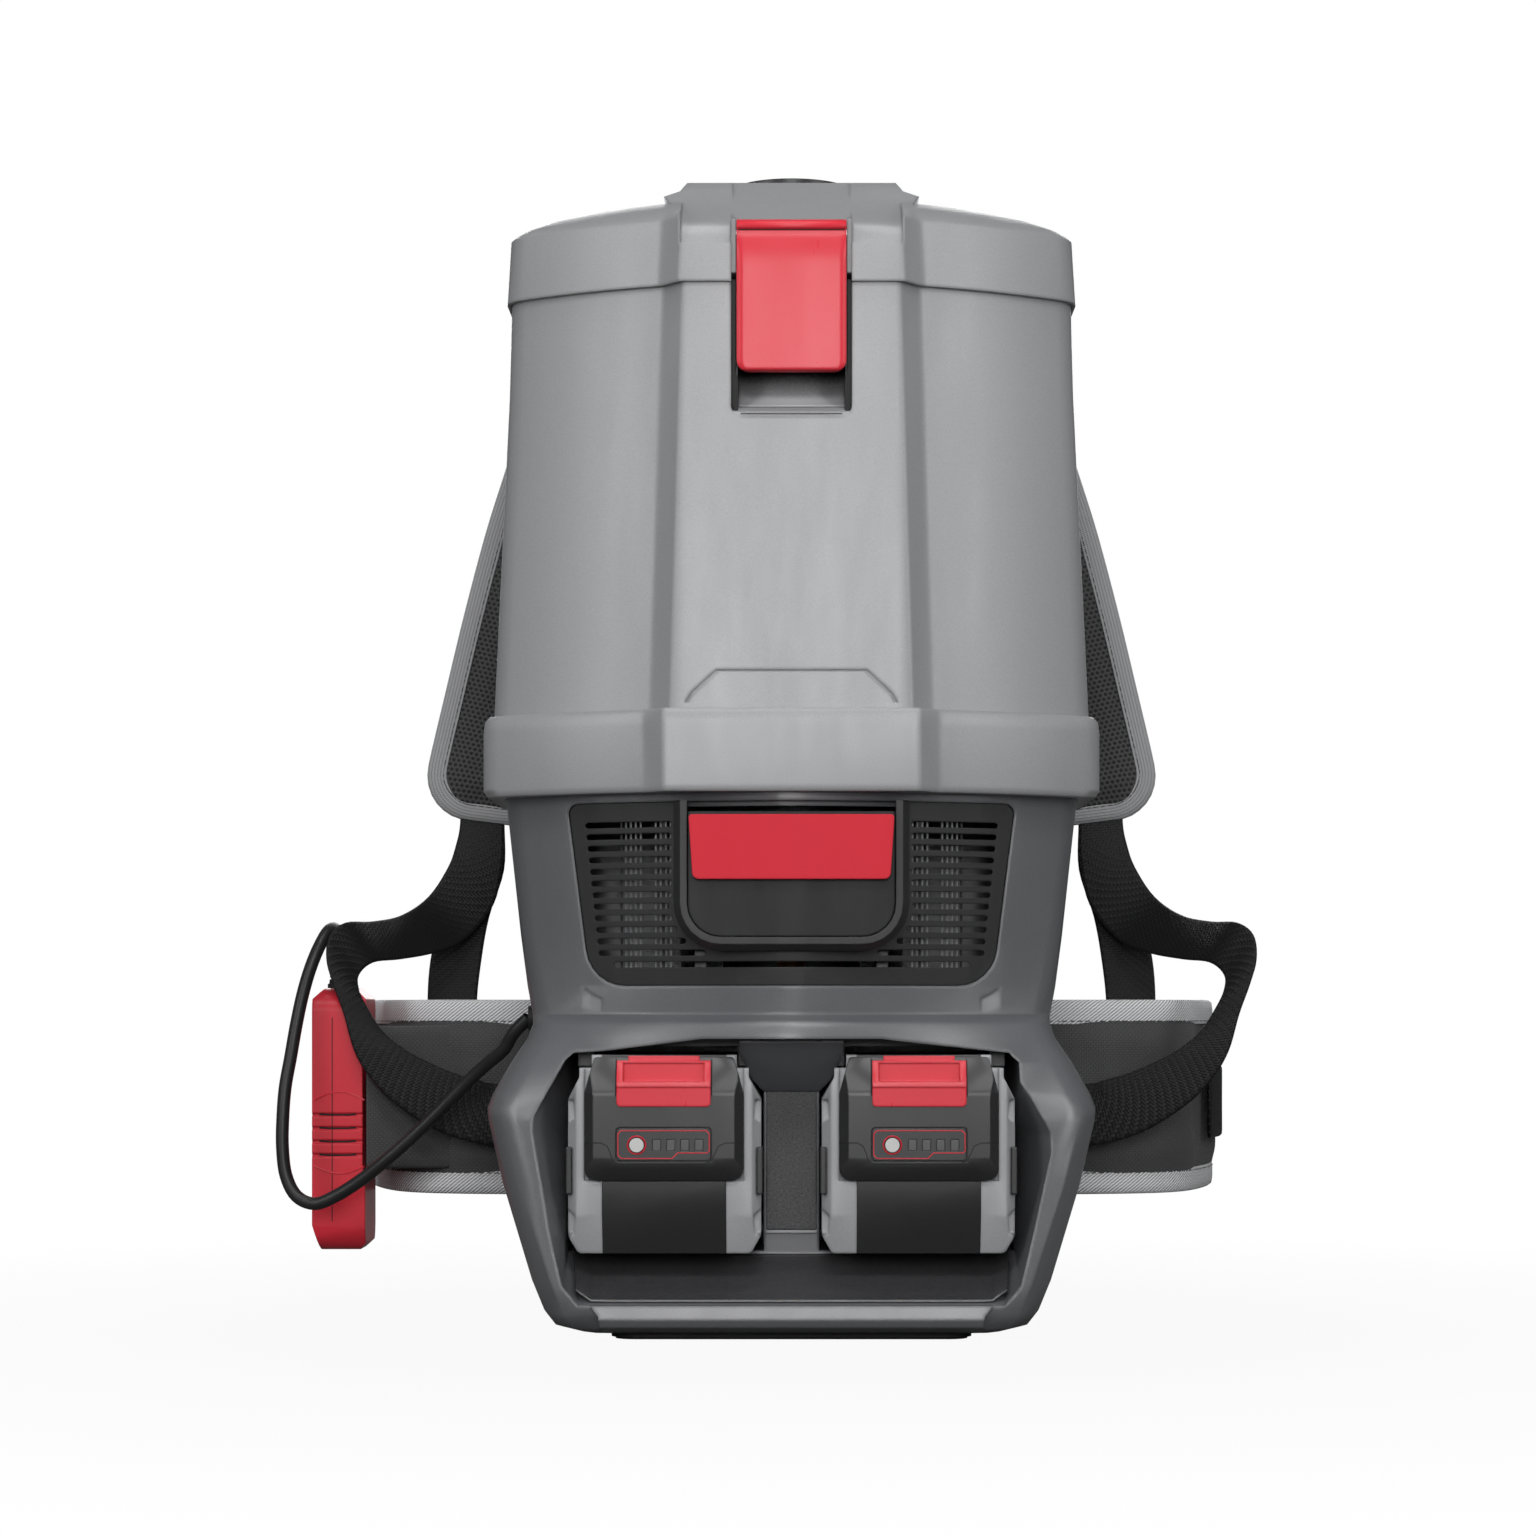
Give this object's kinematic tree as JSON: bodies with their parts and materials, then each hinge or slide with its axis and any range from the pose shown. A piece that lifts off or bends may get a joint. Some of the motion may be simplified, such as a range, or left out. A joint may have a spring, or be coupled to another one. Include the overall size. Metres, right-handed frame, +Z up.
{
  "type": "backpack vacuum cleaner",
  "caption": "Cordless backpack vacuum cleaner: latched lid over a bag canister, motor housing with filter drawer and slide-in battery packs, padded harness with a wired handset.",
  "frame": {"origin": "centre of the foot's underside, on the floor", "axes": "+Z up along the canister, -Y out through the front with the batteries and latch, +Y towards the wearer, +X to the right seen from the front"},
  "size_m": [0.531, 0.479, 0.585],
  "materials": {
    "body_grey": "satin moulded, fine texture",
    "housing_grey": "satin moulded, fine texture",
    "black_plastic": "satin",
    "clear_grey": "satin",
    "red_plastic": "satin gloss",
    "white_plastic": "satin gloss",
    "steel": "ground",
    "contact_metal": "plated",
    "board": "solder mask",
    "bag_paper": "fleece paper",
    "filter_paper": "pleated",
    "rubber": "matte",
    "cord_rubber": "satin jacket",
    "webbing": "woven webbing",
    "pad_fabric": "mesh with ribbed binding",
    "belt_fabric": "woven with ribbed binding",
    "motor_metal": "satin",
    "copper": "enamelled winding",
    "cell_wrap": "shrink wrap"
  },
  "bodies": {
    "housing": {"canister_shell": "body_grey", "collar_ring": "body_grey", "base_housing": "housing_grey", "exhaust_grille": "black_plastic", "foot_pad": "rubber", "back_plate": "black_plastic", "hinge_bracket": "black_plastic", "hinge_pin": "steel", "bag_dock": "black_plastic", "dust_bag": "bag_paper", "inlet_cage": "black_plastic", "motor_can": "motor_metal", "motor_core": "copper", "filter_duct": "black_plastic", "battery_dock": "black_plastic", "dock_contacts": "contact_metal", "control_board": "board", "back_pad": "pad_fabric", "shoulder_pad_left": "pad_fabric", "shoulder_pad_right": "pad_fabric", "strap_left": "webbing", "strap_right": "webbing", "strap_buckles": "black_plastic", "belt_left": "belt_fabric", "belt_right": "belt_fabric", "belt_webbing": "webbing", "buckle_socket": "black_plastic", "buckle_plug": "black_plastic", "handset_body": "red_plastic", "strain_relief": "rubber", "control_cord": "cord_rubber"},
    "lid": {"lid_shell": "body_grey", "lid_gasket": "rubber", "hinge_leaf": "black_plastic", "hose_port": "black_plastic", "latch_bracket": "clear_grey", "latch_pin": "steel"},
    "latch": {"latch_lever": "red_plastic"},
    "filter": {"filter_frame": "black_plastic", "filter_media": "filter_paper", "filter_door": "black_plastic", "pull_pin": "steel"},
    "pull_tab": {"pull_tab": "red_plastic"},
    "impeller": {"impeller": "white_plastic"},
    "power_button": {"power_button": "white_plastic"},
    "speed_button": {"speed_button": "white_plastic"},
    "pack_left": {"pack_shell_left": "housing_grey", "pack_core_left": "black_plastic", "pack_cap_left": "black_plastic", "gauge_panel_left": "black_plastic", "pack_cells_left": "cell_wrap"},
    "release_left": {"pack_release_left": "red_plastic"},
    "gauge_left": {"gauge_button_left": "white_plastic"},
    "pack_right": {"pack_shell_right": "housing_grey", "pack_core_right": "black_plastic", "pack_cap_right": "black_plastic", "gauge_panel_right": "black_plastic", "pack_cells_right": "cell_wrap"},
    "release_right": {"pack_release_right": "red_plastic"},
    "gauge_right": {"gauge_button_right": "white_plastic"}
  },
  "joints": [
    {"name": "lid_hinge", "type": "hinge", "parent": "housing", "child": "lid", "pos_m": [0, 0.0995, 0.518], "axis": [-1, 0, 0], "range_deg": [0, 75]},
    {"name": "latch_pivot", "type": "hinge", "parent": "lid", "child": "latch", "pos_m": [0, -0.101, 0.542], "axis": [-1, 0, 0], "range_deg": [0, 80]},
    {"name": "filter_slide", "type": "slide", "parent": "housing", "child": "filter", "axis": [0, -1, 0], "range_m": [0, 0.07]},
    {"name": "tab_pivot", "type": "hinge", "parent": "filter", "child": "pull_tab", "pos_m": [0, -0.11175, 0.2555], "axis": [-1, 0, 0], "range_deg": [0, 60]},
    {"name": "impeller_spin", "type": "hinge", "parent": "housing", "child": "impeller", "pos_m": [0, 0.016, 0.2], "axis": [0, 0, 1], "continuous": true},
    {"name": "power_press", "type": "slide", "parent": "housing", "child": "power_button", "axis": [1, 0, 0], "range_m": [0, 0.0012], "stiffness_N_per_m": 300},
    {"name": "speed_press", "type": "slide", "parent": "housing", "child": "speed_button", "axis": [1, 0, 0], "range_m": [0, 0.0012], "stiffness_N_per_m": 300},
    {"name": "pack_slide_left", "type": "slide", "parent": "housing", "child": "pack_left", "axis": [0, -1, 0], "range_m": [0, 0.13]},
    {"name": "release_slide_left", "type": "slide", "parent": "pack_left", "child": "release_left", "axis": [0, 0, -1], "range_m": [0, 0.004], "stiffness_N_per_m": 300},
    {"name": "gauge_press_left", "type": "slide", "parent": "pack_left", "child": "gauge_left", "axis": [0, 1, 0], "range_m": [0, 0.0008], "stiffness_N_per_m": 300},
    {"name": "pack_slide_right", "type": "slide", "parent": "housing", "child": "pack_right", "axis": [0, -1, 0], "range_m": [0, 0.13]},
    {"name": "release_slide_right", "type": "slide", "parent": "pack_right", "child": "release_right", "axis": [0, 0, -1], "range_m": [0, 0.004], "stiffness_N_per_m": 300},
    {"name": "gauge_press_right", "type": "slide", "parent": "pack_right", "child": "gauge_right", "axis": [0, 1, 0], "range_m": [0, 0.0008], "stiffness_N_per_m": 300}
  ]
}
